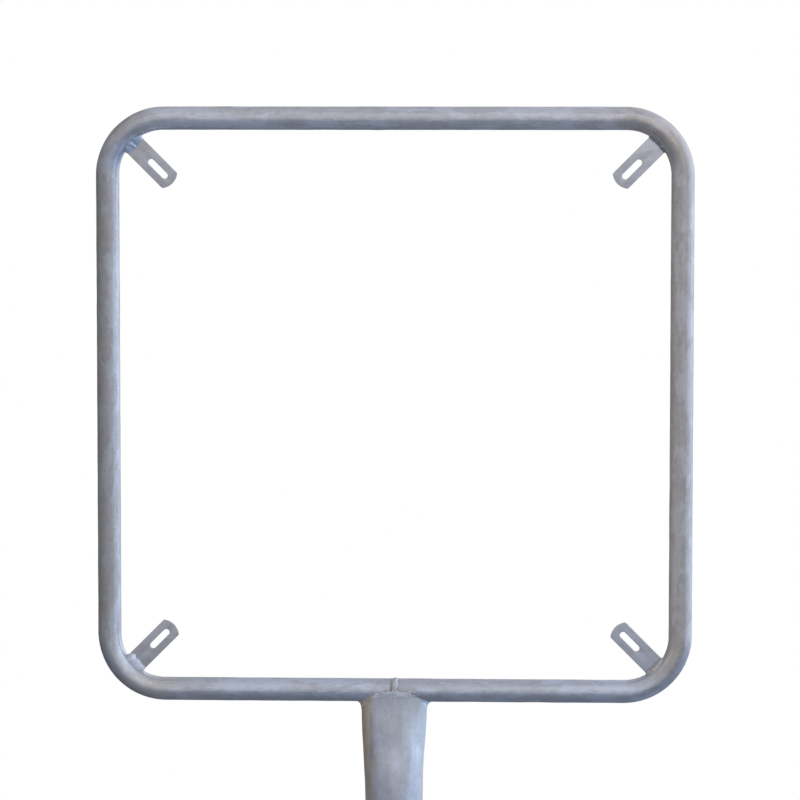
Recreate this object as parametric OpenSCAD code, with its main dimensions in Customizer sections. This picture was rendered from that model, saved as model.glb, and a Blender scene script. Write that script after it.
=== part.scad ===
// Welded signpost for a square sign, in millimetres.
// The origin is the middle of the post's foot. +Z is up, the sign's face looks along -Y.
// A bent tube ring stands on a post whose top is pressed flat and coped to the ring.
// Four slotted tabs in the ring's corners take the sign's bolts.

/* [Sign] */
// Side of the square sign that the frame takes
sign_side = 840; // [560:10:1260]
// Gap between the sign's edge and the ring, all round
sign_gap = 5; // [2:0.5:12]
// Distance of each sign hole from the two sign edges next to it
hole_inset = 55; // [50:1:66]

/* [Ring] */
// Outer diameter of the ring's tube
ring_d = 36; // [28:0.5:44]
// Wall of the ring's tube
ring_wall = 2.6; // [2:0.1:4]
// Radius of the four bends, to the middle of the tube
bend_r = 87.5; // [72:0.5:110]
// Gap between the two ends of the ring's tube, filled by the butt weld
root_gap = 2; // [1:0.5:4]
// Width of the butt weld's bead
butt_bead_w = 8; // [5:0.5:12]
// Height of the butt weld's bead above the tube
butt_bead_h = 1.5; // [0.5:0.1:2.5]
// Diameter of the two vent holes that open the ring into the post
vent_d = 10; // [6:0.5:14]
// Distance of each vent hole from the butt weld
vent_offset = 22; // [14:1:28]

/* [Tabs] */
// Width of a tab
tab_w = 33; // [26:0.5:40]
// Thickness of a tab
tab_t = 4; // [3:0.5:6]
// Radius of a tab's shallow round end
tab_end_r = 26; // [20:0.5:30]
// Width of a tab's slot
slot_w = 10; // [6:0.5:12]
// Length of a tab's slot, end to end
slot_l = 39; // [24:1:44]
// Metal between the end of a slot and the end of its tab
slot_land = 12; // [8:0.5:14]
// Leg of the fillet welds between a tab and the ring
tab_weld_leg = 6; // [4:0.5:7]
// How far a fillet weld runs past each side of its tab
tab_weld_over = 1.5; // [0:0.5:3]
// Depth to which a fillet weld is fused into its tab
tab_weld_root = 0.5; // [0.3:0.1:1]

/* [Post] */
// Length from the post's foot to the underside of the ring
post_l = 2578; // [2000:1:3200]
// Outer diameter of the post
post_d = 88.9; // [72:0.1:108]
// Wall of the post
post_wall = 3.2; // [2.6:0.1:4]
// Length of the pressed head, below the underside of the ring
head_l = 190; // [150:5:240]
// How much wider than the round post the head is where it meets the ring
head_spread = 14; // [8:1:24]
// How late the head takes its final shape: 1 is evenly, 2 is near the ring
head_ease = 1.5; // [1:0.1:2]
// How far below the middle of the ring's tube the head's front and back edges stop
lip_drop = 4; // [3:0.5:6]
// Leg of the post's weld under the ring, at its left and right ends
flank_weld_leg = 11; // [7:0.5:13]
// Leg of the post's weld at its front and back
face_weld_leg = 5; // [4:0.5:6]

/* [Hidden] */

// Directions of the corners in the ring's plane, counted from +X towards +Z
TOP_LEFT = 135;
TOP_RIGHT = 45;
BOTTOM_LEFT = 225;
BOTTOM_RIGHT = 315;

zinc = [0.63, 0.65, 0.68];
dull_zinc = [0.56, 0.57, 0.59];
weld_zinc = [0.70, 0.71, 0.72];

$fn = 96;
// Clearance that parts a weld from the pieces it joins
fit_gap = 0.1;
// Clearance between the post's coped edge and the ring
cope_gap = 0.4;
// Clearance between the post's weld, whose facets are chords, and the ring
saddle_gap = 0.25;
// How far the head's flat facets stay inside the round tube's wall where the two meet
facet_inset = 0.05;

ring_r = ring_d / 2;
ring_bore_r = ring_r - ring_wall;
opening = sign_side + 2 * sign_gap;
// Distance from the ring's middle to the middle of each of its tubes
ring_half = opening / 2 + ring_r;
// Distance from the ring's middle to each bend's centre, in X and in Z
bend_at = ring_half - bend_r;
bend_inner_r = bend_r - ring_r;
// Height of the bottom tube's middle, and of the ring's middle
rail_z = post_l + ring_r;
ring_z = rail_z + ring_half;

// Places along a corner's diagonal, counted outwards from the bend's centre
slot_at = sqrt(2) * (sign_side / 2 - hole_inset - bend_at);
tab_end = slot_at - slot_l / 2 - slot_land;
tab_root_r = bend_inner_r - fit_gap;

post_r = post_d / 2;
post_bore_r = post_r - post_wall;
cope_r = ring_r + cope_gap;
saddle_r = ring_r + saddle_gap;
// Outer half depth of the head where it meets the ring
lip_half_t = cope_r + post_wall;
head_z = post_l - head_l;
head_cols = 64;
head_rows = 9;
// Crown of the post's weld above its root, at the ends and at the front and back
flank_crown = 5;
face_crown = 1.2;

function unit(v) = v / norm(v);

// Places the children at a bend's centre, with +X outwards along the diagonal and +Z to the front
module at_corner(direction) {
    across = bend_at * sqrt(2);
    translate([across * cos(direction), 0, ring_z + across * sin(direction)])
        rotate([90, 0, 0])
            rotate(direction)
                children();
}

// ---- Ring ----

module tube_section(r_out, r_in) {
    difference() {
        circle(r_out);
        circle(r_in);
    }
}

// A straight stretch of the ring's tube, from x0 to x1, at a given height
module ring_rail(x0, x1, z) {
    translate([x0, 0, z])
        rotate([0, 90, 0])
            linear_extrude(x1 - x0)
                tube_section(ring_r, ring_bore_r);
}

module ring_upright(x) {
    translate([x, 0, ring_z - bend_at])
        linear_extrude(2 * bend_at)
            tube_section(ring_r, ring_bore_r);
}

// Turned by whole quarter turns only, so that its ends meet the straight tubes exactly
module ring_bend(direction) {
    translate([sign(cos(direction)) * bend_at, 0, ring_z + sign(sin(direction)) * bend_at])
        rotate([90, 0, 0])
            rotate(direction - 45)
                rotate_extrude(angle = 90)
                    translate([bend_r, 0])
                        tube_section(ring_r, ring_bore_r);
}

module frame_ring() {
    color(zinc)
        difference() {
            union() {
                ring_rail(-bend_at, bend_at, ring_z + ring_half);
                ring_rail(-bend_at, -root_gap / 2, rail_z);
                ring_rail(root_gap / 2, bend_at, rail_z);
                for (side = [-1, 1])
                    ring_upright(side * ring_half);
                for (direction = [TOP_LEFT, TOP_RIGHT, BOTTOM_LEFT, BOTTOM_RIGHT])
                    ring_bend(direction);
            }
            for (side = [-1, 1])
                translate([side * vent_offset, 0, rail_z - ring_d])
                    cylinder(h = ring_d, d = vent_d);
        }
}

// Fills the root gap all round, with a raised bead over the half that the post leaves free
module ring_butt_weld() {
    bead_half = butt_bead_w / 2;
    bead_r = (pow(bead_half, 2) + pow(butt_bead_h, 2)) / (2 * butt_bead_h);
    bead_span = 150;
    color(weld_zinc)
        translate([0, 0, rail_z])
            rotate([0, 90, 0])
                union() {
                    translate([0, 0, -root_gap / 2])
                        linear_extrude(root_gap)
                            tube_section(ring_r, ring_bore_r);
                    rotate(180 - bead_span / 2)
                        rotate_extrude(angle = bead_span)
                            butt_bead_section(bead_half, bead_r);
                }
}

// The raised bead's section, with the stem that joins it to the metal in the gap
module butt_bead_section(bead_half, bead_r) {
    intersection() {
        translate([ring_r + butt_bead_h - bead_r, 0])
            circle(bead_r);
        translate([ring_r + fit_gap, -bead_half])
            square([2 * butt_bead_h, 2 * bead_half]);
    }
    translate([ring_bore_r, -root_gap / 2])
        square([ring_wall + butt_bead_h / 2, root_gap]);
}

// ---- Tabs ----

module slot() {
    straight = slot_l - slot_w;
    translate([slot_at - straight / 2, -slot_w / 2])
        square([straight, slot_w]);
    for (side = [-1, 1])
        translate([slot_at + side * straight / 2, 0])
            circle(d = slot_w);
}

module tab_outline() {
    intersection() {
        translate([tab_end, -tab_w / 2])
            square([tab_root_r - tab_end, tab_w]);
        union() {
            translate([tab_end + tab_end_r, 0])
                circle(tab_end_r);
            translate([tab_end + tab_end_r, -tab_w])
                square([tab_root_r - tab_end, 2 * tab_w]);
        }
        circle(tab_root_r);
    }
}

// The strips along the tab's root, on both faces, that its welds have taken the place of
module fused_strips() {
    for (face = [0, 1])
        mirror([0, 0, face])
            translate([0, 0, tab_t / 2 - tab_weld_root])
                linear_extrude(tab_t)
                    difference() {
                        circle(bend_r);
                        circle(bend_inner_r - tab_weld_leg - fit_gap);
                    }
}

module tab(direction) {
    color(dull_zinc)
        at_corner(direction)
            difference() {
                linear_extrude(tab_t, center = true)
                    difference() {
                        tab_outline();
                        slot();
                    }
                fused_strips();
            }
}

// The weld's section in the bend's own plane: a fillet between the tab's face and the round tube
module tab_weld_section() {
    toe_z = tab_t / 2 + tab_weld_leg;
    root_z = tab_t / 2 - tab_weld_root;
    toe_r = bend_r - sqrt(pow(ring_r + fit_gap, 2) - pow(toe_z, 2));
    difference() {
        polygon([
            [bend_inner_r - tab_weld_leg, tab_t / 2],
            [bend_inner_r - tab_weld_leg, root_z],
            [bend_r, root_z],
            [bend_r, toe_z],
            [toe_r, toe_z]
        ]);
        translate([bend_r, 0])
            circle(ring_r + fit_gap);
    }
}

module tab_weld(direction) {
    span = 2 * asin((tab_w / 2 + tab_weld_over) / bend_inner_r);
    color(weld_zinc)
        at_corner(direction)
            for (face = [0, 1])
                mirror([0, 0, face])
                    rotate(-span / 2)
                        rotate_extrude(angle = span)
                            tab_weld_section();
}

// ---- Post ----

// Share of the head's final shape at h, from 0 at the round tube to 1 at the ring
function head_share(h) = let (e = pow(h, head_ease)) e * e * (3 - 2 * e);
function head_half_w(h) = post_r + head_spread / 2 * head_share(h);
function head_half_t(h) = post_r + (lip_half_t - post_r) * head_share(h);

// Insets of the head's outer and inner skins
skin_insets = [facet_inset, post_wall - 3 * facet_inset];

// A point of the head's oval section at h, at one skin's inset
function oval(h, t, inset) = [(head_half_w(h) - inset) * cos(t), (head_half_t(h) - inset) * sin(t)];

// Height of the coped edge at depth y
function cope_z(y) = rail_z - max(lip_drop, sqrt(max(0, pow(cope_r, 2) - y * y)));

function head_point(row, col, inset) =
    let (
        h = row / head_rows,
        t = 360 * col / head_cols,
        here = oval(h, t, inset),
        lip = oval(1, t, inset)
    )
    [here.x, here.y, head_z + (cope_z(lip.y) - head_z) * h];

function head_index(skin, row, col) = (skin * (head_rows + 1) + row) * head_cols + col % head_cols;

// The pressed head as a closed shell: outer skin, inner skin, coped edge and bottom edge
module post_head() {
    points = [
        for (inset = skin_insets, row = [0:head_rows], col = [0:head_cols - 1])
            head_point(row, col, inset)
    ];
    skins = [
        for (row = [0:head_rows - 1], col = [0:head_cols - 1])
            let (
                a = head_index(0, row, col),
                b = head_index(0, row + 1, col),
                c = head_index(0, row + 1, col + 1),
                d = head_index(0, row, col + 1),
                inner = head_index(1, 0, 0)
            )
            each [[a, b, c], [a, c, d], [c + inner, b + inner, a + inner], [d + inner, c + inner, a + inner]]
    ];
    edges = [
        for (col = [0:head_cols - 1])
            each [
                [
                    head_index(0, head_rows, col), head_index(1, head_rows, col),
                    head_index(1, head_rows, col + 1)
                ],
                [
                    head_index(0, head_rows, col), head_index(1, head_rows, col + 1),
                    head_index(0, head_rows, col + 1)
                ],
                [head_index(0, 0, col), head_index(0, 0, col + 1), head_index(1, 0, col + 1)],
                [head_index(0, 0, col), head_index(1, 0, col + 1), head_index(1, 0, col)]
            ]
    ];
    polyhedron(points, concat(skins, edges));
}

module post() {
    color(zinc)
        union() {
            linear_extrude(head_z)
                tube_section(post_r, post_bore_r);
            post_head();
        }
}

// A point on the ring's bottom tube: x along it, arc length s round it from its underside to the back
function on_rail(x, s) =
    let (turn = s / saddle_r * 180 / PI)
    [x, saddle_r * sin(turn), rail_z - saddle_r * cos(turn)];

// The coped edge's outer corner, as x along the bottom tube and arc length s round it
function lip_on_rail(col) =
    let (lip = head_point(head_rows, col, 0))
    [lip.x, atan2(lip.y, rail_z - lip.z) * PI / 180 * saddle_r];

// How much a column of the weld belongs to the post's left or right end: 1 there, 0 at front and back
function flank_share(col) = pow(cos(360 * col / head_cols), 4);
function between(face_value, flank_value, col) =
    face_value + (flank_value - face_value) * flank_share(col);

// The weld's section at one column: down the post's wall, its root, along the ring, its crown
function saddle_section(col) =
    let (
        t = 360 * col / head_cols,
        leg = between(face_weld_leg, flank_weld_leg, col),
        wall_out = unit([head_half_t(1) * cos(t), head_half_w(1) * sin(t), 0]),
        top = head_point(head_rows, col, 0) + fit_gap * wall_out,
        down = unit(head_point(head_rows - 1, col, 0) - head_point(head_rows, col, 0)),
        root = lip_on_rail(col),
        along = lip_on_rail(col + 1) - lip_on_rail(col - 1),
        reach = leg * unit([along.y, -along.x]),
        on_ring = [for (share = [0, 0.5, 1]) let (p = root + share * reach) on_rail(p.x, p.y)],
        rail_out = unit([0, top.y, top.z - rail_z]),
        crown = top + between(face_crown, flank_crown, col) * unit(wall_out + rail_out)
    )
    concat([top + leg * down, top], on_ring, [crown]);

module post_weld() {
    points = [for (col = [0:head_cols - 1]) each saddle_section(col)];
    corners = len(saddle_section(0));
    faces = [
        for (col = [0:head_cols - 1], corner = [0:corners - 1])
            let (
                here = corners * col,
                next = corners * ((col + 1) % head_cols),
                after = (corner + 1) % corners
            )
            each [[here + corner, next + corner, next + after], [here + corner, next + after, here + after]]
    ];
    color(weld_zinc)
        polyhedron(points, faces);
}

frame_ring();
ring_butt_weld();
tab(TOP_LEFT);  // tab_top_left
tab(TOP_RIGHT);  // tab_top_right
tab(BOTTOM_LEFT);  // tab_bottom_left
tab(BOTTOM_RIGHT);  // tab_bottom_right
tab_weld(TOP_LEFT);  // weld_top_left
tab_weld(TOP_RIGHT);  // weld_top_right
tab_weld(BOTTOM_LEFT);  // weld_bottom_left
tab_weld(BOTTOM_RIGHT);  // weld_bottom_right
post();
post_weld();
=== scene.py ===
"""Looks of the welded signpost. Metres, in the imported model's own frame: +Z up, the front is -Y."""

import math

import bmesh
import bpy
import numpy as np
from mathutils import Matrix, Vector


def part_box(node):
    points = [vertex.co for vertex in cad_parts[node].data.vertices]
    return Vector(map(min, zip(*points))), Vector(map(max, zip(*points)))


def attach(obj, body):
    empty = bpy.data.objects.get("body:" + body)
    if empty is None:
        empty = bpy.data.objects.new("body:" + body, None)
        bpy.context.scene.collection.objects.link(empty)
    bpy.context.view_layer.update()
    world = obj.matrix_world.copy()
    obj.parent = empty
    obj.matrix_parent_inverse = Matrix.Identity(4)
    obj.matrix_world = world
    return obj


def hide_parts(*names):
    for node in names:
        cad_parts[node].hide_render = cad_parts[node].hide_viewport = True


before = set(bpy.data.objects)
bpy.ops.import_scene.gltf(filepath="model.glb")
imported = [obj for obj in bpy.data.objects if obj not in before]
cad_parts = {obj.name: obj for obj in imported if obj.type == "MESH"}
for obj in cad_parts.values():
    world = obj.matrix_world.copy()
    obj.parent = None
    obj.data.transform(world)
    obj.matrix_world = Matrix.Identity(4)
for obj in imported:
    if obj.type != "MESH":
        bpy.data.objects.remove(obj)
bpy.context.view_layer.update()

# ---- Sizes, as in the design ----
MM = 0.001
TAB_CORNERS = {"top_left": 135, "top_right": 45, "bottom_left": 225, "bottom_right": 315}
ring_lo, ring_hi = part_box("frame_ring")
post_lo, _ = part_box("post")
RING_R = (ring_hi.y - ring_lo.y) / 2
RING_HALF = (ring_hi.x - ring_lo.x) / 2 - RING_R
RING_Z = (ring_lo.z + ring_hi.z) / 2
RAIL_Z = RING_Z - RING_HALF                # the middle of the bottom tube
BEND_R = 87.5 * MM
BEND_AT = RING_HALF - BEND_R
BEND_INNER_R = BEND_R - RING_R
ROOT_GAP = 2 * MM

HOLE_AT = 365 * MM                         # each slot's centre from the ring's middle, in X and in Z
TAB_W, TAB_T = 33 * MM, 4 * MM
TAB_END_R, SLOT_W, SLOT_L, SLOT_LAND = 26 * MM, 10 * MM, 39 * MM, 12 * MM
SLOT_AT = math.sqrt(2) * (HOLE_AT - BEND_AT)
TAB_END = SLOT_AT - SLOT_L / 2 - SLOT_LAND
TAB_SINK = 0.8 * MM                        # looks only: a tab's root reaches this far into the tube
TAB_ROOT_R = BEND_INNER_R + TAB_SINK

POST_R, POST_WALL = 44.45 * MM, 3.2 * MM
HEAD_L, HEAD_SPREAD, HEAD_EASE = 190 * MM, 14 * MM, 1.5
HEAD_Z = RAIL_Z - RING_R - HEAD_L
LIP_DROP = 4 * MM
COPE_GAP = 0.4 * MM
COPE_R = RING_R + COPE_GAP
LIP_HALF_T = COPE_R + POST_WALL
FLANK_LEG, FACE_LEG = 11 * MM, 5 * MM
Y_AXIS = np.array([0.0, 1.0, 0.0])


# ---- Mesh helpers ----
class Waves:
    """Smooth seeded noise of about unit size, from plane waves near one wavelength."""

    def __init__(self, seed, wavelength, count=26):
        rng = np.random.default_rng(seed)
        k = rng.normal(size=(count, 3))
        k /= np.linalg.norm(k, axis=1)[:, None]
        self.k = k * (2 * math.pi / wavelength * rng.uniform(0.6, 1.6, count))[:, None]
        self.phase = rng.uniform(0, 2 * math.pi, count)

    def __call__(self, points):
        p = np.asarray(points)
        total = np.zeros(p.shape[:-1])
        for k, phase in zip(self.k, self.phase):
            total += np.sin(p @ k + phase)
        return total / math.sqrt(len(self.k) / 2)


def unit(v):
    return v / np.linalg.norm(v, axis=-1, keepdims=True)


def smooth(x):
    """Eases from 0 at 0 to 1 at 1, and stays at 0 below and at 1 above."""
    x = np.clip(x, 0, 1)
    return x * x * (3 - 2 * x)


def stack(*parts):
    """Points from their x, y and z, each of any matching shape."""
    return np.stack(np.broadcast_arrays(*parts), -1)


def loft_faces(rows, cols, closed_rows, closed_cols, offset=0):
    faces = []
    for i in range(rows if closed_rows else rows - 1):
        a, b = i * cols, (i + 1) % rows * cols
        for j in range(cols if closed_cols else cols - 1):
            k = (j + 1) % cols
            faces.append((offset + a + j, offset + a + k, offset + b + k, offset + b + j))
    return faces


def end_caps(rows, cols, offset=0):
    last = offset + (rows - 1) * cols
    return [tuple(range(offset, offset + cols)), tuple(range(last, last + cols))]


def make_piece(name, points, faces, grain=None, tint=None, sharp=50):
    """A mesh piece with its grain coordinates (lengthwise first) and its tint at each point, which carries
    stains and painted light and shade.
    """
    mesh = bpy.data.meshes.new(name)
    points = np.asarray(points, float).reshape(-1, 3)
    mesh.from_pydata(points.tolist(), [], faces)
    bm = bmesh.new()
    bm.from_mesh(mesh)
    bmesh.ops.recalc_face_normals(bm, faces=bm.faces)
    bm.to_mesh(mesh)
    bm.free()
    return finish_piece(name, mesh, grain, tint, sharp)


def finish_piece(name, mesh, grain, tint, sharp):
    points = np.empty(len(mesh.vertices) * 3)
    mesh.vertices.foreach_get("co", points)
    points = points.reshape(-1, 3)
    grain = points if grain is None else np.asarray(grain).reshape(-1, 3)
    tint = np.ones_like(points) if tint is None else np.asarray(tint).reshape(-1, 3)
    for key, values in (("grain", grain), ("tint", tint)):
        layer = mesh.attributes.new(key, "FLOAT_VECTOR", "POINT")
        layer.data.foreach_set("vector", np.ascontiguousarray(values, dtype=np.float32).ravel())
    mesh.polygons.foreach_set("use_smooth", np.ones(len(mesh.polygons), dtype=bool))
    mesh.set_sharp_from_angle(angle=math.radians(sharp))
    obj = bpy.data.objects.new(name, mesh)
    bpy.context.scene.collection.objects.link(obj)
    return obj


def place(obj, nodes, material):
    obj.data.materials.clear()
    obj.data.materials.append(material)
    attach(obj, "root")
    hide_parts(*nodes)
    return obj


def stains_and_painted_light(tint, points, stains):
    """The tint with soft stains, and with painted light and shade, on the front.

    Each stain is x, depth below the bottom tube's middle, width and height, all in mm, and a colour.
    """
    for x, below, wide, high, colour in stains:
        across = (points[..., 0] / MM - x) / wide
        down = ((points[..., 2] - RAIL_Z) / MM + below) / high
        weight = np.exp(-0.5 * (across ** 2 + down ** 2)) * (points[..., 1] < 0)
        tint = tint * (1 - weight[..., None] * (1 - np.array(colour)))
    return tint


# ---- Materials ----
class Nodes:
    def __init__(self, tree):
        self.tree = tree
        tree.nodes.clear()

    def add(self, kind, **settings):
        node = self.tree.nodes.new(kind)
        for key, value in settings.items():
            setattr(node, key, value)
        return node

    def link(self, source, target):
        self.tree.links.new(source, target)

    def noise(self, vector, scale, detail=3.0, rough=0.55):
        node = self.add("ShaderNodeTexNoise")
        node.inputs["Scale"].default_value = scale
        node.inputs["Detail"].default_value = detail
        node.inputs["Roughness"].default_value = rough
        self.link(vector, node.inputs["Vector"])
        return node.outputs["Fac"]

    def stretch(self, vector, factors):
        node = self.add("ShaderNodeVectorMath", operation="MULTIPLY")
        node.inputs[1].default_value = factors
        self.link(vector, node.inputs[0])
        return node.outputs[0]

    def span(self, value, low, high, to_low=0.0, to_high=1.0):
        node = self.add("ShaderNodeMapRange", clamp=True)
        for key, number in zip(("From Min", "From Max", "To Min", "To Max"), (low, high, to_low, to_high)):
            node.inputs[key].default_value = number
        self.link(value, node.inputs["Value"])
        return node.outputs["Result"]

    def math(self, operation, a, b):
        node = self.add("ShaderNodeMath", operation=operation)
        for socket, value in zip(node.inputs, (a, b)):
            if isinstance(value, (int, float)):
                socket.default_value = value
            else:
                self.link(value, socket)
        return node.outputs[0]

    def weighted_sum(self, *terms):
        """The sum of (value, weight) pairs."""
        total = self.math("MULTIPLY", *terms[0])
        for value, weight in terms[1:]:
            total = self.math("ADD", total, self.math("MULTIPLY", value, weight))
        return total

    def mix(self, factor, a, b, blend="MIX"):
        node = self.add("ShaderNodeMix", data_type="RGBA", blend_type=blend)
        for socket, value in zip((node.inputs["Factor"], node.inputs[6], node.inputs[7]), (factor, a, b)):
            if isinstance(value, (int, float)):
                socket.default_value = value
            elif isinstance(value, tuple):
                socket.default_value = (*value, 1.0)
            else:
                self.link(value, socket)
        return node.outputs[2]


METALLIC = 0.84
PAINTED_SHADE_REACH = 6 * MM        # how near other metal has to be for the painted crevice shade to darken the colour
RELIEF = 0.7 * MM
BRIGHT_PATCH, DULL_PATCH, SPECK = (1.03, 1.06, 1.11), (0.88, 0.84, 0.80), (0.55, 0.55, 0.55)


def times(colour, factors):
    return tuple(c * f for c, f in zip(colour, factors))


def galvanised(name, dark, light, rough=(0.24, 0.36), streaks=0.26, spangle=0.06, bump=0.3, stain=0.6):
    """Weathered hot-dip zinc: clouded greys, streaks, specks, and bright and dull patches, with painted shade
    darkening its crevices.
    """
    material = bpy.data.materials.new(name)
    material.use_nodes = True
    n = Nodes(material.node_tree)
    out = n.add("ShaderNodeOutputMaterial")
    shader = n.add("ShaderNodeBsdfPrincipled")
    shader.inputs["Metallic"].default_value = METALLIC
    n.link(shader.outputs[0], out.inputs["Surface"])
    grain = n.add("ShaderNodeAttribute", attribute_name="grain").outputs["Vector"]
    tint = n.add("ShaderNodeAttribute", attribute_name="tint").outputs["Vector"]
    spot = n.add("ShaderNodeTexCoord").outputs["Object"]

    clouds = n.noise(spot, 16, 3, 0.5)
    patches = n.noise(spot, 95, 4, 0.65)
    lines = n.noise(n.stretch(grain, (0.045, 1, 1)), 330, 3, 0.6)
    fine = n.noise(spot, 600, 2, 0.6)
    skin = n.noise(n.stretch(grain, (0.36, 1, 1)), 46, 4, 0.62)
    smears = n.noise(n.stretch(grain, (0.4, 1, 1)), 75, 5, 0.7)
    crystals = n.add("ShaderNodeTexVoronoi")
    crystals.inputs["Scale"].default_value = 150
    n.link(spot, crystals.inputs["Vector"])
    split = n.add("ShaderNodeSeparateColor")
    n.link(crystals.outputs["Color"], split.inputs[0])

    streak = n.span(lines, 0.34, 0.66)
    tone = n.weighted_sum(
        (n.span(clouds, 0.34, 0.66), 0.20),
        (n.span(patches, 0.36, 0.64), 0.26),
        (streak, streaks),
        (split.outputs[0], spangle),
        (n.span(fine, 0.3, 0.7), 0.05),
    )
    colour = n.mix(n.span(tone, 0.2, 0.85), dark, light)
    bright_patch = n.span(skin, 0.515, 0.55, 0.0, stain)
    colour = n.mix(bright_patch, colour, times(light, BRIGHT_PATCH))
    dull_patch = n.span(smears, 0.57, 0.63, 0.0, 0.55 * stain)
    colour = n.mix(dull_patch, colour, times(dark, DULL_PATCH))
    specks = n.span(n.noise(spot, 380, 2, 0.5), 0.68, 0.73, 0.0, 0.55)
    colour = n.mix(specks, colour, times(dark, SPECK))
    # Painted shade: an AO node darkens the colour in crevices and where other metal is near
    hidden = n.add("ShaderNodeAmbientOcclusion", samples=6, only_local=False)
    hidden.inputs["Distance"].default_value = PAINTED_SHADE_REACH
    shade = n.span(hidden.outputs["AO"], 0.15, 0.85, 0.5, 1.0)
    grey = n.add("ShaderNodeCombineColor")
    for socket in grey.inputs[:3]:
        n.link(shade, socket)
    colour = n.mix(1.0, colour, grey.outputs[0], "MULTIPLY")
    # The tint attribute multiplies in stains and painted light and shade
    n.link(n.mix(1.0, colour, tint, "MULTIPLY"), shader.inputs["Base Color"])

    dull = n.weighted_sum((dull_patch, 0.6), (streak, 0.5))
    n.link(n.span(dull, 0.0, 0.9, *rough), shader.inputs["Roughness"])
    relief = n.add("ShaderNodeBump")
    relief.inputs["Strength"].default_value = bump
    relief.inputs["Distance"].default_value = RELIEF
    n.link(n.weighted_sum((clouds, 1.6), (patches, 0.55), (lines, 0.10)), relief.inputs["Height"])
    n.link(relief.outputs[0], shader.inputs["Normal"])
    return material


TUBE_GREYS = (0.50, 0.505, 0.52), (0.66, 0.67, 0.70)
PLATE_GREYS = (0.52, 0.525, 0.545), (0.66, 0.67, 0.70)
WELD_GREYS = (0.50, 0.50, 0.51), (0.72, 0.73, 0.765)
zinc_tube = galvanised("zinc_tube", *TUBE_GREYS)
zinc_plate = galvanised("zinc_plate", *PLATE_GREYS, rough=(0.34, 0.48), streaks=0.10, bump=0.2, stain=0.3)
zinc_post = galvanised("zinc_post", *TUBE_GREYS, streaks=0.13, bump=0.22, stain=0.22)
zinc_weld = galvanised("zinc_weld", *WELD_GREYS, rough=(0.36, 0.50), streaks=0.08, bump=0.35, stain=0.4)

# ---- Ring ----
RING_COLS = 64
ROW_STEP, FINE_STEP = 5 * MM, 1 * MM
FINE_WITHIN = 40 * MM                      # rows are finer this near to the closing weld
BEND_ROWS = 48
FLATTENED, DEEPENED = 0.018, 0.010         # a bent tube is a little oval
DRIPS = 46
LEFT_TINT = np.array([0.74, 0.728, 0.715])
RIGHT_TINT = np.array([0.87, 0.83, 0.785])
TOP_TINT = np.array([1.05, 1.04, 1.06])
BOTTOM_TINT = np.array([0.98, 1.01, 1.08])
# Painted light and shade: how much lighter or darker a tube is painted on one side than its own grey
PAINTED_LIGHT_INNER, PAINTED_LIGHT_UNDER, PAINTED_LIGHT_ACROSS_LEFT, PAINTED_SHADE_RIGHT = 0.26, 0.20, 0.12, 0.10
# Stains on the ring, with painted sheen and painted crevice shade among them
RING_STAINS_AND_PAINTED_LIGHT = (
    (-410, -826, 30, 17, (0.96, 1.05, 1.20)),      # painted bluish sheen round the top left tab's weld
    (-400, -8, 46, 20, (1.08, 0.97, 0.84)),        # brownish on the bottom left bend
    (405, -864, 50, 42, (0.95, 0.885, 0.81)),      # brownish on the top right bend
    (-428, -46, 30, 28, (1.26, 1.29, 1.33)),       # bright new zinc on the bottom left bend
    (418, -50, 34, 34, (1.00, 0.965, 0.92)),       # warmer on the bottom right bend
    (312, -892, 30, 6, (1.09, 1.09, 1.10)),        # a bright run on the top tube
    (366, -890, 18, 14, (0.90, 0.88, 0.86)),       # and a dull patch beside it
    (-3.6, -5, 1.3, 8, (0.42, 0.35, 0.30)),        # painted crevice shade, dark and brownish, beside the closing weld
    (-6.0, 3, 2.6, 6, (0.74, 0.68, 0.63)),
    (8.0, -4, 0.9, 4, (0.60, 0.60, 0.64)),
    (22, -3, 12, 4, (0.88, 0.86, 0.85)),
)


def ring_line():
    """The middle line of the ring's tube from one end to the other, with its outward direction."""
    h, b, g, near = RING_HALF, BEND_AT, ROOT_GAP / 2, FINE_WITHIN
    path, out = [], []

    def straight(start, end, normal, step=ROW_STEP):
        count = max(2, round(math.dist(start, end) / step))
        for share in np.linspace(0, 1, count, endpoint=False):
            path.append([start[0] + (end[0] - start[0]) * share, start[1] + (end[1] - start[1]) * share])
            out.append(normal)

    def bend(cx, cz, first):
        for a in np.radians(np.linspace(first, first + 90, BEND_ROWS, endpoint=False)):
            path.append([cx + BEND_R * math.cos(a), cz + BEND_R * math.sin(a)])
            out.append((math.cos(a), math.sin(a)))

    straight((g, -h), (near, -h), (0, -1), FINE_STEP)
    straight((near, -h), (b, -h), (0, -1))
    bend(b, -b, -90)
    straight((h, -b), (h, b), (1, 0))
    bend(b, b, 0)
    straight((b, h), (-b, h), (0, 1))
    bend(-b, b, 90)
    straight((-h, b), (-h, -b), (-1, 0))
    bend(-b, -b, 180)
    straight((-b, -h), (-near, -h), (0, -1))
    straight((-near, -h), (-g, -h), (0, -1), FINE_STEP)
    path.append([-g, -h])
    out.append((0, -1))
    return np.array(path), np.array(out, float)


def with_drips(lift, along, theta):
    """The lift with runs and drips of zinc added, each at a random place."""
    rng = np.random.default_rng(5)
    for _ in range(DRIPS):
        s0, t0 = rng.uniform(0, along[-1]), rng.uniform(0, 2 * math.pi)
        length, width, high = rng.uniform(4, 13) * MM, rng.uniform(0.1, 0.3), rng.uniform(0.10, 0.38) * MM
        ds = (along[:, None] - s0) / length
        dt = (np.angle(np.exp(1j * (theta - t0))) / width)[None]
        lift = lift + high * np.exp(-0.5 * (ds ** 2 + dt ** 2))
    return lift


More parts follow.
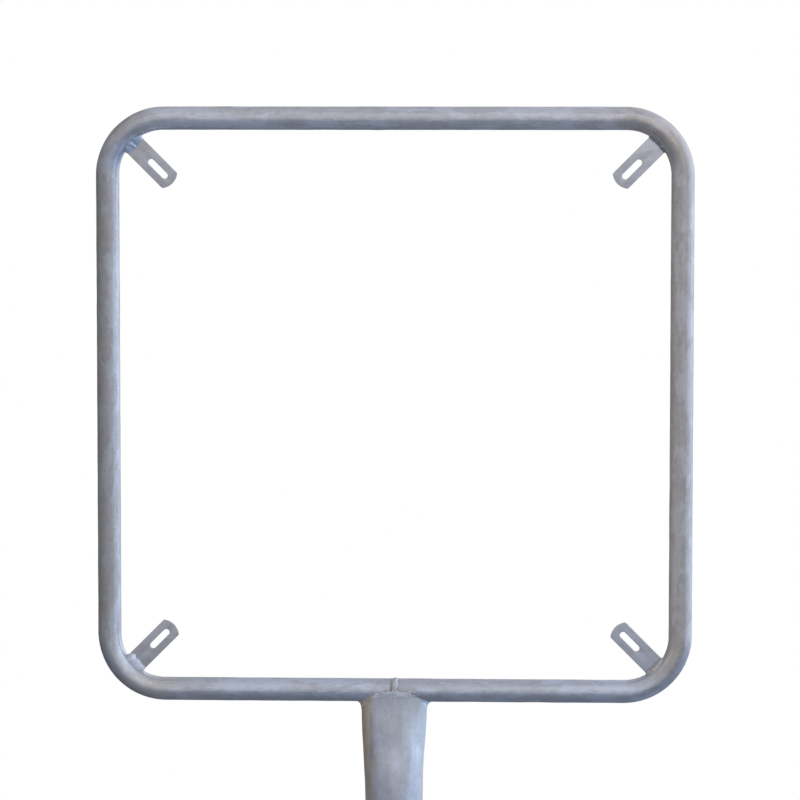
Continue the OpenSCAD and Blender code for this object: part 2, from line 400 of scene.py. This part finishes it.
def ring_tint(ring, out, radial):
    """Each side of the ring has its own grey, and some sides are painted lighter or darker from edge to edge,
    as painted light and shade.
    """
    left, right = smooth(-out[:, 0]), smooth(out[:, 0])
    tint = 1 - left[:, None] * (1 - LEFT_TINT) - right[:, None] * (1 - RIGHT_TINT)
    top, bottom = smooth(out[:, 1]), smooth(-out[:, 1])
    tint = tint - top[:, None] * (1 - TOP_TINT) - bottom[:, None] * (1 - BOTTOM_TINT)
    # Painted light and shade: masks for the sides of the tubes that are painted lighter or darker
    inner_side = right[:, None] * smooth(-1.4 * radial[..., 0])
    underside = top[:, None] * smooth(-1.6 * radial[..., 2])
    across_left = left[:, None] * radial[..., 0]
    slope = right[:, None] * np.sin(math.pi * np.clip(radial[..., 0], 0, 1))
    lighter = PAINTED_LIGHT_INNER * inner_side + PAINTED_LIGHT_UNDER * underside
    lighter = lighter + PAINTED_LIGHT_ACROSS_LEFT * across_left - PAINTED_SHADE_RIGHT * slope
    return stains_and_painted_light(tint[:, None] * (1 + lighter[..., None]), ring, RING_STAINS_AND_PAINTED_LIGHT)


def ring_tube():
    path, out = ring_line()
    n = len(path)
    centre = stack(path[:, 0], 0, path[:, 1] + RING_Z)[:, None]
    normal = stack(out[:, 0], 0, out[:, 1])[:, None]
    along = np.concatenate([[0], np.cumsum(np.linalg.norm(np.diff(path, axis=0), axis=1))])
    theta = np.linspace(0, 2 * math.pi, RING_COLS, endpoint=False)
    in_bend = np.clip(4 * (out[:, 0] * out[:, 1]) ** 2, 0, 1) ** 0.5
    r_plane = RING_R * (1 - FLATTENED * in_bend)[:, None]
    r_depth = RING_R * (1 + DEEPENED * in_bend)[:, None]
    ring = centre + (r_plane * np.cos(theta))[..., None] * normal
    ring = ring + (r_depth * np.sin(theta))[..., None] * Y_AXIS
    radial = unit(ring - centre)
    lift = 0.07 * MM * Waves(11, 60 * MM)(ring) + 0.03 * MM * Waves(12, 14 * MM)(ring)
    ring = ring + with_drips(lift, along, theta)[..., None] * radial
    grain = stack(along[:, None], RING_R * np.cos(theta), RING_R * np.sin(theta))
    faces = loft_faces(n, RING_COLS, False, True) + end_caps(n, RING_COLS)
    return make_piece("ring_tube", ring, faces, grain, ring_tint(ring, out, radial))


place(ring_tube(), ["frame_ring"], zinc_tube)

# ---- Tabs ----
TAB_TINTS = {
    "top_left": (0.96, 0.94, 0.94), "top_right": (1.10, 1.09, 1.09),
    "bottom_left": (0.89, 0.875, 0.89), "bottom_right": (0.93, 0.94, 0.98),
}
TAB_EDGE = 0.55 * MM                       # rounding of a tab's edges
TAB_SOFT = 1.1 * MM                        # and of its shoulders


def corner_axes(direction):
    """A bend's centre, and the unit vectors outwards and across at its corner."""
    a = math.radians(direction)
    out = np.array([math.cos(a), 0, math.sin(a)])
    across = np.array([-math.sin(a), 0, math.cos(a)])
    middle = np.array([0, 0, RING_Z]) + BEND_AT * math.sqrt(2) * out
    return middle, out, across


def arc(cx, cy, r, first, last, count):
    return [(cx + r * math.cos(a), cy + r * math.sin(a)) for a in np.radians(np.linspace(first, last, count))]


def tab_loops():
    """The plate's outline with softened shoulders, and its slot."""
    half = TAB_W / 2
    end_angle = math.degrees(math.asin((half - TAB_SOFT * 0.55) / TAB_END_R))
    root_angle = math.degrees(math.asin(half / TAB_ROOT_R))
    shoulder = TAB_END + TAB_END_R - math.sqrt(TAB_END_R ** 2 - half ** 2) + TAB_SOFT * 0.9
    turn = [(shoulder + 0.5 * MM, half), (shoulder - 0.3 * MM, half - 0.25 * MM)]
    outline = arc(0, 0, TAB_ROOT_R, -root_angle, root_angle, 13)
    outline += turn
    outline += arc(TAB_END + TAB_END_R, 0, TAB_END_R, 180 - end_angle, 180 + end_angle, 25)
    outline += [(u, -v) for u, v in reversed(turn)]
    straight = (SLOT_L - SLOT_W) / 2
    slot = arc(SLOT_AT + straight, 0, SLOT_W / 2, -90, 90, 17)
    slot += arc(SLOT_AT - straight, 0, SLOT_W / 2, 90, 270, 17)
    return outline, slot


def tab_plate(corner, direction):
    curve = bpy.data.curves.new("outline", "CURVE")
    curve.dimensions, curve.fill_mode = "2D", "BOTH"
    for loop in tab_loops():
        spline = curve.splines.new("POLY")
        spline.points.add(len(loop) - 1)
        for point, (u, v) in zip(spline.points, loop):
            point.co = (u, v, 0, 1)
        spline.use_cyclic_u = True
    curve.extrude, curve.offset = TAB_T / 2 - TAB_EDGE, -TAB_EDGE
    curve.bevel_depth, curve.bevel_resolution = TAB_EDGE, 3
    source = bpy.data.objects.new("outline", curve)
    bpy.context.scene.collection.objects.link(source)
    mesh = bpy.data.meshes.new_from_object(source.evaluated_get(bpy.context.evaluated_depsgraph_get()))
    bpy.data.objects.remove(source)
    middle, out, across = corner_axes(direction)
    turn = Matrix((
        (out[0], across[0], 0, middle[0]),
        (0, 0, -1, 0),
        (out[2], across[2], 0, middle[2]),
        (0, 0, 0, 1),
    ))
    mesh.transform(turn)
    bm = bmesh.new()
    bm.from_mesh(mesh)
    bmesh.ops.remove_doubles(bm, verts=bm.verts, dist=1e-6)
    bmesh.ops.recalc_face_normals(bm, faces=bm.faces)
    bm.to_mesh(mesh)
    bm.free()
    tint = np.tile(TAB_TINTS[corner], (len(mesh.vertices), 1))
    return finish_piece(f"tab_plate_{corner}", mesh, None, tint, 35)


# ---- Tab welds ----
TAB_BEADS = {        # legs on the tab and on the ring, bulge, each in mm
    "top_left": (8.0, 8.0, 0.55),
    "top_right": (2.6, 8.5, 1.3),
    "bottom_left": (10.5, 6.0, 0.8),
    "bottom_right": (4.0, 8.0, 1.2),
}
# Tints of the tab beads: the top left one painted with a bluish sheen, the top right one painted dark as
# crevice shade; the bottom left one lighter and bluish, the bottom right one brownish
BEAD_TINTS_AND_PAINTED_LIGHT = {
    "top_left": (1.12, 1.24, 1.42), "top_right": (0.78, 0.75, 0.74),
    "bottom_left": (1.06, 1.12, 1.20), "bottom_right": (0.98, 0.93, 0.88),
}
BEAD_OVER = 1.5 * MM                       # how far a bead runs past each side of its tab
BEAD_SINK = 0.25 * MM                      # how far a bead's toes go into the metal
BEAD_STEPS, BEAD_WIDTH = 96, 13


def ripple(run, q, pitch, seed):
    """Fish scales along a bead: run is the length along it, q from 0 to 1 is the place across it."""
    wander = 0.25 * np.sin(run / pitch * 0.7 + seed)
    phase = run / pitch + 0.55 * (2 * q - 1) ** 2 + wander
    tooth = phase - np.floor(phase)
    return 1 - np.abs(2 * tooth ** 0.75 - 1) ** 1.6


def bezier(a, b, c, q):
    q = q[..., None]
    return (1 - q) ** 2 * a + 2 * q * (1 - q) * b + q * q * c


def tab_bead_section(corner, seed, t, half):
    """A bead's cross-sections on one face of a tab, as distance from the bend's centre and depth."""
    leg_tab, leg_ring, bulge = (value * MM for value in TAB_BEADS[corner])
    q = np.linspace(0, 1, BEAD_WIDTH)[None]
    body = (1 - np.abs(t) ** 5) ** 0.5 * 0.96 + 0.04       # tapers off at both ends
    run = (t + 1) * half * BEND_INNER_R
    line = stack(run[:, 0], 0, 0)
    uneven = Waves(seed, 9 * MM)(line)[:, None]
    uneven_b = Waves(seed + 50, 7 * MM)(line)[:, None]
    on_tab = np.clip(leg_tab * body * (1 + 0.12 * uneven), 0.5 * MM, None)
    on_ring = np.clip(leg_ring * body * (1 + 0.10 * uneven_b), 0.5 * MM, None)
    climb = math.asin(TAB_T / 2 / RING_R) + on_ring / RING_R
    toe_r = RING_R - BEAD_SINK
    toe_tab = np.concatenate([BEND_INNER_R - on_tab, 0 * on_tab + TAB_T / 2 - BEAD_SINK], -1)[:, None]
    toe_ring = np.concatenate([BEND_R - toe_r * np.cos(climb), toe_r * np.sin(climb)], -1)[:, None]
    chord = toe_ring - toe_tab
    normal = unit(np.stack([-chord[..., 1], chord[..., 0]], -1))
    control = (toe_tab + toe_ring) / 2 + normal * (2 * bulge * body)[..., None]
    section = bezier(toe_tab, control, toe_ring, np.broadcast_to(q, (BEAD_STEPS, BEAD_WIDTH)))
    rough = 0.05 * MM * ripple(run, q, 2.6 * MM, seed)
    rough = rough + 0.07 * MM * Waves(seed + 9, 9 * MM)(stack(run, 12 * MM * q, 0))
    section = section + normal * (rough * np.sin(math.pi * q) ** 0.6 * body)[..., None]
    root = np.array([[BEND_R - RING_R * 0.6, TAB_T * 0.42], [BEND_INNER_R - 0.2 * MM, TAB_T * 0.3]])
    return np.concatenate([section, np.broadcast_to(root, (BEAD_STEPS, 2, 2))], 1)


def tab_bead(corner, direction):
    middle, out, across = corner_axes(direction)
    half = math.asin((TAB_W / 2 + BEAD_OVER) / BEND_INNER_R)
    t = np.linspace(-1, 1, BEAD_STEPS)[:, None]
    angle = (t * half)[:, :, None]
    ray = np.cos(angle) * out + np.sin(angle) * across
    cols = BEAD_WIDTH + 2
    points, faces = [], []
    for face in (-1, 1):
        section = tab_bead_section(corner, direction + face, t, half)
        bead = middle + section[..., :1] * ray + face * section[..., 1:] * Y_AXIS
        offset = sum(len(p) for p in points)
        faces += loft_faces(BEAD_STEPS, cols, False, True, offset) + end_caps(BEAD_STEPS, cols, offset)
        points.append(bead.reshape(-1, 3))
    points = np.concatenate(points)
    # each bead's tint, partly painted sheen and painted shade
    return make_piece(f"bead_{corner}", points, faces, None, np.tile(BEAD_TINTS_AND_PAINTED_LIGHT[corner], (len(points), 1)))


for corner, direction in TAB_CORNERS.items():
    place(tab_plate(corner, direction), [f"tab_{corner}"], zinc_plate)
    place(tab_bead(corner, direction), [f"weld_{corner}"], zinc_weld)

# ---- Post ----
POST_COLS, SHAFT_ROWS, HEAD_ROWS = 160, 190, 84
# Painted reflections across the post: brown at its left, bluish grey in the middle and at its right
POST_LEFT_REFLECTION = np.array([1.02, 0.89, 0.72])
POST_MIDDLE_REFLECTION = np.array([0.88, 0.92, 1.0])
POST_RIGHT_REFLECTION = np.array([0.93, 0.97, 0.99])
# Painted shade: the post's inside is painted this much darker
INSIDE_SHADE = 0.7
PRESSED_WITHIN = 120 * MM                  # the head's dents grow over this height
FOOT_TRUE = 20 * MM                        # the foot's edge stays round
HOLLOW_X, HOLLOW_W, HOLLOW_DEEP = 8 * MM, 8.5 * MM, 0.75 * MM      # a groove down the head's front
POST_STAINS = (
    (-34.5, 50, 2.4, 12, (0.72, 0.74, 0.80)),
    (-34, 90, 2.6, 14, (0.70, 0.72, 0.79)),
    (-24, 46, 8, 26, (1.16, 1.17, 1.19)),
    (5, 60, 7, 24, (0.89, 0.86, 0.85)),
    (22, 60, 9, 32, (1.03, 1.07, 1.07)),
    (-14, 78, 16, 6, (0.88, 0.90, 0.95)),
    (-14, 38, 9, 14, (1.12, 1.12, 1.12)),
    (-17, 102, 9, 20, (1.20, 1.19, 1.18)),
    (4, 102, 10, 16, (1.10, 1.09, 1.08)),
    (-20, 60, 4, 6, (0.90, 0.89, 0.90)),
    (30, 96, 12, 12, (1.05, 1.06, 1.07)),
)


def head_share(h):
    e = h ** HEAD_EASE
    return e * e * (3 - 2 * e)


def cope_z(y):
    """Height of the coped edge at depth y."""
    return RAIL_Z - np.maximum(LIP_DROP, np.sqrt(np.maximum(0, COPE_R ** 2 - y * y)))


def head_oval(h, t, inset=0.0):
    share = head_share(h)
    half_w = POST_R + HEAD_SPREAD / 2 * share - inset
    half_t = POST_R + (LIP_HALF_T - POST_R) * share - inset
    return half_w * np.cos(t), half_t * np.sin(t)


def head_point(h, t, inset=0.0):
    """A point of the pressed head: h is 0 at the round tube and 1 at the cope, t goes round."""
    x, y = head_oval(h, t, inset)
    _, lip_y = head_oval(np.ones_like(h), t, inset)
    return np.stack([x, y, HEAD_Z + (cope_z(lip_y) - HEAD_Z) * h], -1)


def post_painted_reflection(points):
    """Painted reflections across the post: brownish at its left, cooler towards its right."""
    across = (points[..., :1] / POST_R + 1) / 2
    tint = POST_LEFT_REFLECTION + smooth(across / 0.22) * (POST_MIDDLE_REFLECTION - POST_LEFT_REFLECTION)
    return tint + smooth(2.6 * across - 1.7) * (POST_RIGHT_REFLECTION - POST_MIDDLE_REFLECTION)


def post_tube():
    t = np.linspace(0, 2 * math.pi, POST_COLS, endpoint=False)[None]
    shaft = np.linspace(post_lo.z, HEAD_Z, SHAFT_ROWS, endpoint=False)[:, None]
    h = np.linspace(0, 1, HEAD_ROWS)[:, None]

    def skin(inset):
        round_part = stack((POST_R - inset) * np.cos(t), (POST_R - inset) * np.sin(t), shaft)
        return np.concatenate([round_part, head_point(h + 0 * t, t + 0 * h, inset)])

    outer, inner = skin(0.0), skin(POST_WALL)
    away = unit(outer * np.array([1, 1, 0]))
    pressed = smooth((outer[..., 2] - HEAD_Z) / PRESSED_WITHIN)
    hollow = np.exp(-(((outer[..., 0] - HOLLOW_X) / HOLLOW_W) ** 2)) * (outer[..., 1] < 0)
    lift = 0.12 * MM * Waves(21, 90 * MM)(outer) + 0.05 * MM * Waves(22, 25 * MM)(outer)
    lift += pressed * 0.35 * MM * Waves(23, 38 * MM)(outer * np.array([1, 1, 0.35]))
    lift -= pressed * HOLLOW_DEEP * hollow
    end = smooth((outer[..., 2] - post_lo.z) / FOOT_TRUE)
    outer = outer + (lift * end)[..., None] * away
    # Painted reflections across the post, with stains on top
    tint = stains_and_painted_light(post_painted_reflection(outer), outer, POST_STAINS)
    rows = np.concatenate([outer, inner[::-1]])
    # The post's inside gets painted shade
    tints = np.concatenate([tint, np.full_like(inner, INSIDE_SHADE)])
    grain = rows[..., [2, 0, 1]]
    return make_piece("post_tube", rows, loft_faces(len(rows), POST_COLS, True, True), grain, tints)


place(post_tube(), ["post"], zinc_post)

# ---- Weld between post and ring, and the weld that closes the ring ----
SADDLE_COLS, SADDLE_WIDTH = 640, 13
SADDLE_SINK = 0.3 * MM
FACE_BULGE, FLANK_BULGE = 2.3 * MM, 1.8 * MM
SADDLE_ROOT = 1.6 * MM                     # how deep the bead's hidden middle lies
NOISE_LOOP_R = 45 * MM                     # noise is read on this circle, so that it closes
LOOSE_DROPS, TRAIL_DROPS = 46, 18
LOOSE_X, TRAIL_X = (-13, 37), (2, 35)      # along the bottom tube, in mm
LOOSE_RISE = (-0.40, 0.10)                 # up from the tube's front, in radians
LOOSE_R, TRAIL_R = (0.8, 2.4), (1.3, 2.3)  # in mm
DROP_TINT = 1.10
# Painted highlights and a dull stain on the post's weld
SHOULDER_PAINTED_HIGHLIGHTS_AND_STAIN = (
    (-28, 9, 3.0, 2.4, (1.5, 1.46, 1.40)),         # painted highlights at both shoulders
    (46, 22, 4.0, 4.0, (1.35, 1.36, 1.36)),
    (-36, 16, 4, 4, (0.82, 0.80, 0.78)),           # and a dull patch at the left one
)
CLOSING_STEPS, CLOSING_WIDTH = 120, 13
CLOSING_HALF_W, CLOSING_H, CLOSING_SINK = 4.0 * MM, 1.25 * MM, 0.3 * MM
CLOSING_SHIFT = 1.8 * MM                   # towards the ring's right
CLOSING_TINT = 0.97


def on_rail(x, s, r):
    """A point round the bottom tube at radius r, with s the arc length from its underside."""
    return np.stack([x, r * np.sin(s / RING_R), RAIL_Z - r * np.cos(s / RING_R)], -1)


def droplets(rng, centres, normals, radii):
    """Spatter: flattened drops that stand on the metal."""
    points, faces = [], []
    bm = bmesh.new()
    bmesh.ops.create_icosphere(bm, subdivisions=2, radius=1)
    ball = np.array([v.co[:] for v in bm.verts])
    tris = [tuple(v.index for v in f.verts) for f in bm.faces]
    bm.free()
    for centre, normal, radius in zip(centres, normals, radii):
        drop = ball * radius * rng.uniform(0.75, 1.25, 3)
        drop = drop - np.outer(drop @ normal, normal) * 0.45
        faces += [tuple(i + len(ball) * len(points) for i in tri) for tri in tris]
        points.append(centre + drop)
    return np.concatenate(points), faces


def spatter():
    """Loose drops on the bottom tube above the post, and a trail of them beside the closing weld."""
    rng = np.random.default_rng(31)
    trail = np.linspace(*TRAIL_X, TRAIL_DROPS)
    x = np.concatenate([rng.uniform(*LOOSE_X, LOOSE_DROPS), trail + rng.normal(0, 0.6, TRAIL_DROPS)]) * MM
    loose_rise = rng.uniform(*LOOSE_RISE, LOOSE_DROPS)
    rise = np.concatenate([loose_rise, 0.30 - 0.012 * trail + 0.10 * np.sin(trail / 2.6)])
    loose_r = rng.uniform(*LOOSE_R, LOOSE_DROPS)
    radii = np.concatenate([loose_r, rng.uniform(*TRAIL_R, TRAIL_DROPS)]) * MM
    normals = stack(0, -np.cos(rise), np.sin(rise))
    centres = stack(x, 0, RAIL_Z) + normals * RING_R
    return droplets(rng, centres, normals, radii)


def post_bead():
    t = np.linspace(0, 2 * math.pi, SADDLE_COLS, endpoint=False)
    one = np.ones_like(t)
    lip, below = head_point(one, t), head_point(one * 0.96, t)
    down = unit(below - lip)
    wall_out = unit(stack(LIP_HALF_T * np.cos(t), (POST_R + HEAD_SPREAD / 2) * np.sin(t), 0))
    flank = np.cos(t) ** 4                 # 1 at the post's left and right, 0 at its front and back
    run = np.concatenate([[0], np.cumsum(np.linalg.norm(np.diff(lip, axis=0), axis=1))])
    closed = stack(np.cos(t), np.sin(t), 0) * NOISE_LOOP_R
    uneven, uneven_b = Waves(71, 11 * MM)(closed), Waves(72, 8 * MM)(closed)
    leg = FACE_LEG + (FLANK_LEG - FACE_LEG) * flank
    root = np.stack([lip[:, 0], np.arctan2(lip[:, 1], RAIL_Z - lip[:, 2]) * RING_R], -1)
    along = np.roll(root, -1, 0) - np.roll(root, 1, 0)
    foot = root + unit(np.stack([along[:, 1], -along[:, 0]], -1)) * (leg * (1 + 0.13 * uneven))[:, None]
    toe_ring = on_rail(foot[:, 0], foot[:, 1], RING_R - SADDLE_SINK)
    toe_post = lip + down * (leg * (1.05 + 0.12 * uneven_b))[:, None] - 0.12 * MM * wall_out
    rail_out = unit(stack(0, lip[:, 1], lip[:, 2] - RAIL_Z))
    out = unit(wall_out + rail_out)
    bulge = (FACE_BULGE + (FLANK_BULGE - FACE_BULGE) * flank)[:, None]
    control = lip - down * (0.55 * leg * (1 - flank) + 0.15 * leg * flank)[:, None] + out * 0.12 * bulge
    q = np.linspace(0, 1, SADDLE_WIDTH)[None]
    places = np.broadcast_to(q, (SADDLE_COLS, SADDLE_WIDTH))
    section = bezier(toe_post[:, None], control[:, None], toe_ring[:, None], places)
    lumps = (0.40 - 0.28 * flank[:, None]) * MM * Waves(73, 7 * MM)(section)
    rough = 0.10 * MM * ripple(run[:, None], q, 2.4 * MM, 3) + lumps
    rough = rough * np.sin(math.pi * q) ** 0.6 * (0.15 + 0.85 * smooth(1.6 * q - 0.3))
    section = section + out[:, None] * rough[..., None]
    inside = (lip - out * SADDLE_ROOT)[:, None]
    bead = np.concatenate([section, inside], 1)
    faces = loft_faces(SADDLE_COLS, SADDLE_WIDTH + 1, True, True)
    drops, drop_faces = spatter()
    faces += [tuple(i + bead.size // 3 for i in f) for f in drop_faces]
    # Painted light: the post's painted reflections, painted lighter still towards the bead's flanks
    bead_painted_light = post_painted_reflection(bead) * (1.12 + 0.16 * flank[:, None, None] + 0 * bead)
    points = np.concatenate([bead.reshape(-1, 3), drops])
    tints = np.concatenate([bead_painted_light.reshape(-1, 3), np.full_like(drops, DROP_TINT)])
    return make_piece("bead_post", points, faces, None, stains_and_painted_light(tints, points, SHOULDER_PAINTED_HIGHLIGHTS_AND_STAIN))


def ring_bead():
    a = np.radians(np.linspace(-96, 96, CLOSING_STEPS))[:, None]      # from the top, towards the front
    q = np.linspace(0, 1, CLOSING_WIDTH)[None]
    run = (a - a[0]) * RING_R
    line = np.concatenate([run, 0 * run, 0 * run], -1)
    half = CLOSING_HALF_W * (1 + 0.12 * Waves(81, 9 * MM)(line))[:, None]
    shift = CLOSING_SHIFT + 0.5 * MM * Waves(82, 16 * MM)(line)[:, None]
    x = shift + (2 * q - 1) * half
    r = RING_R - CLOSING_SINK + CLOSING_H * np.sin(math.pi * q) ** 0.42 + 0 * a
    rough = 0.22 * MM * ripple(run, q, 2.6 * MM, 1) + 0.18 * MM * Waves(83, 5 * MM)(stack(run, x, 0))
    r = r + rough * np.sin(math.pi * q) ** 0.6
    bead = stack(x, -r * np.sin(a), RAIL_Z + r * np.cos(a))
    base_x = np.concatenate([shift + 2 * MM, shift - 2 * MM], 1)
    base_r = RING_R - 1.2 * MM
    base = stack(base_x, -base_r * np.sin(a), RAIL_Z + base_r * np.cos(a))
    bead = np.concatenate([bead, base], 1)
    cols = CLOSING_WIDTH + 2
    faces = loft_faces(CLOSING_STEPS, cols, False, True) + end_caps(CLOSING_STEPS, cols)
    return make_piece("bead_ring", bead, faces, None, np.full((bead.size // 3, 3), CLOSING_TINT))


place(post_bead(), ["post_weld"], zinc_weld)
place(ring_bead(), ["ring_butt_weld"], zinc_weld)

# ---- Floor, light and camera ----
# Colour of the light by the height it comes from, -1 straight below to 1 straight above
HEIGHTS = (
    (-1.0, (0.23, 0.255, 0.305)), (-0.71, (0.27, 0.305, 0.37)), (-0.45, (0.315, 0.36, 0.445)),
    (-0.33, (0.38, 0.42, 0.50)), (-0.17, (0.64, 0.66, 0.72)), (0.05, (0.76, 0.77, 0.82)),
    (0.3, (0.84, 0.845, 0.88)), (0.6, (0.80, 0.805, 0.84)), (1.0, (0.70, 0.72, 0.78)),
)
# Its strength and colour by direction in degrees, 0 in front, 90 at the right, 180 behind
TURNS = (
    (-180, (0.60, 0.60, 0.61)), (-150, (0.36, 0.35, 0.34)), (-118, (0.40, 0.385, 0.37)),
    (-74, (0.59, 0.575, 0.555)), (-35, (0.72, 0.71, 0.70)), (0, (0.86, 0.865, 0.875)),
    (35, (0.97, 0.965, 0.975)), (50, (1.03, 1.05, 1.10)), (60, (1.30, 1.45, 1.66)),
    (80, (1.40, 1.57, 1.80)), (128, (1.55, 1.67, 1.88)), (155, (1.20, 1.27, 1.39)),
    (180, (0.72, 0.73, 0.76)),
)
POLES = (0.87, 0.875, 0.89)  # straight above and straight below
LIGHT_SCALE = 2.6            # keeps the ramps' colours under 1
LAMP_TARGET = Vector((0, 0, 2.2))


def pale_floor():
    bm = bmesh.new()
    bmesh.ops.create_circle(bm, cap_ends=True, segments=128, radius=10)
    mesh = bpy.data.meshes.new("floor")
    bm.to_mesh(mesh)
    bm.free()
    floor = bpy.data.objects.new("floor", mesh)
    bpy.context.scene.collection.objects.link(floor)
    material = bpy.data.materials.new("pale_floor")
    material.use_nodes = True
    shader = material.node_tree.nodes["Principled BSDF"]
    shader.inputs["Base Color"].default_value = (0.80, 0.80, 0.80, 1)
    shader.inputs["Roughness"].default_value = 0.9
    shader.inputs["Specular IOR Level"].default_value = 0.1
    shader.inputs["Emission Color"].default_value = (1, 1, 1, 1)
    shader.inputs["Emission Strength"].default_value = 0.42
    mesh.materials.append(material)
    floor.visible_diffuse = floor.visible_glossy = False


def ramp(n, value, stops):
    node = n.add("ShaderNodeValToRGB")
    elements = node.color_ramp.elements
    while len(elements) > 1:
        elements.remove(elements[-1])
    elements[0].position, elements[0].color = stops[0][0], (*stops[0][1], 1)
    for position, colour in stops[1:]:
        elements.new(position).color = (*colour, 1)
    n.link(value, node.inputs[0])
    return node.outputs[0]


def surroundings():
    """Soft light all round: bright above the horizon, dark below, cooler and brighter on the right."""
    world = bpy.data.worlds.new("surroundings")
    bpy.context.scene.world = world
    world.use_nodes = True
    n = Nodes(world.node_tree)
    split = n.add("ShaderNodeSeparateXYZ")
    n.link(n.add("ShaderNodeTexCoord").outputs["Generated"], split.inputs[0])
    x, y, z = split.outputs
    rise = ramp(n, n.span(z, -1, 1), [((h + 1) / 2, c) for h, c in HEIGHTS])
    turn = n.math("ARCTAN2", x, n.math("MULTIPLY", y, -1))
    stops = [((a + 180) / 360, tuple(v / LIGHT_SCALE for v in c)) for a, c in TURNS]
    sweep = ramp(n, n.span(turn, -math.pi, math.pi), stops)
    level = n.math("SQRT", n.math("MAXIMUM", n.math("SUBTRACT", 1, n.math("MULTIPLY", z, z)), 0), 0)
    sweep = n.mix(level, tuple(v / LIGHT_SCALE for v in POLES), sweep)
    light = n.add("ShaderNodeBackground")
    light.inputs["Strength"].default_value = LIGHT_SCALE
    n.link(n.mix(1.0, rise, sweep, "MULTIPLY"), light.inputs["Color"])
    white = n.add("ShaderNodeBackground")
    white.inputs["Color"].default_value = (1, 1, 1, 1)
    choice = n.add("ShaderNodeMixShader")
    n.link(n.add("ShaderNodeLightPath").outputs["Is Camera Ray"], choice.inputs[0])
    n.link(light.outputs[0], choice.inputs[1])
    n.link(white.outputs[0], choice.inputs[2])
    n.link(choice.outputs[0], n.add("ShaderNodeOutputWorld").inputs["Surface"])


def soft_light(name, location, size, power, colour):
    data = bpy.data.lights.new(name, "AREA")
    data.energy, data.size, data.color = power, size, colour
    lamp = bpy.data.objects.new(name, data)
    lamp.location = location
    lamp.rotation_euler = (LAMP_TARGET - Vector(location)).to_track_quat("-Z", "Y").to_euler()
    bpy.context.scene.collection.objects.link(lamp)


def photo_camera():
    azimuth, elevation, roll = math.radians(2.42), math.radians(4.45), math.radians(0.036)
    distance = 6.0
    target = Vector((0, 0, RING_Z))
    level = math.cos(elevation)
    back = Vector((math.sin(azimuth) * level, -math.cos(azimuth) * level, math.sin(elevation)))
    right = Vector((0, 0, 1)).cross(back).normalized()
    up = back.cross(right)
    right, up = right * math.cos(roll) + up * math.sin(roll), up * math.cos(roll) - right * math.sin(roll)
    data = bpy.data.cameras.new("camera")
    data.lens, data.sensor_width = 174.7, 36
    data.shift_x, data.shift_y = 0.0071, 0.0071
    camera = bpy.data.objects.new("camera", data)
    bpy.context.scene.collection.objects.link(camera)
    matrix = Matrix((right, up, back)).transposed().to_4x4()
    matrix.translation = target + back * distance
    camera.matrix_world = matrix
    bpy.context.scene.camera = camera


pale_floor()
surroundings()
soft_light("key", location=(2.5, -5.0, 6.0), size=6.0, power=14, colour=(1.0, 1.0, 1.0))
soft_light("side", location=(5.0, 1.5, 4.0), size=4.0, power=12, colour=(0.86, 0.92, 1.0))
photo_camera()
bpy.context.scene.view_settings.view_transform = "Standard"
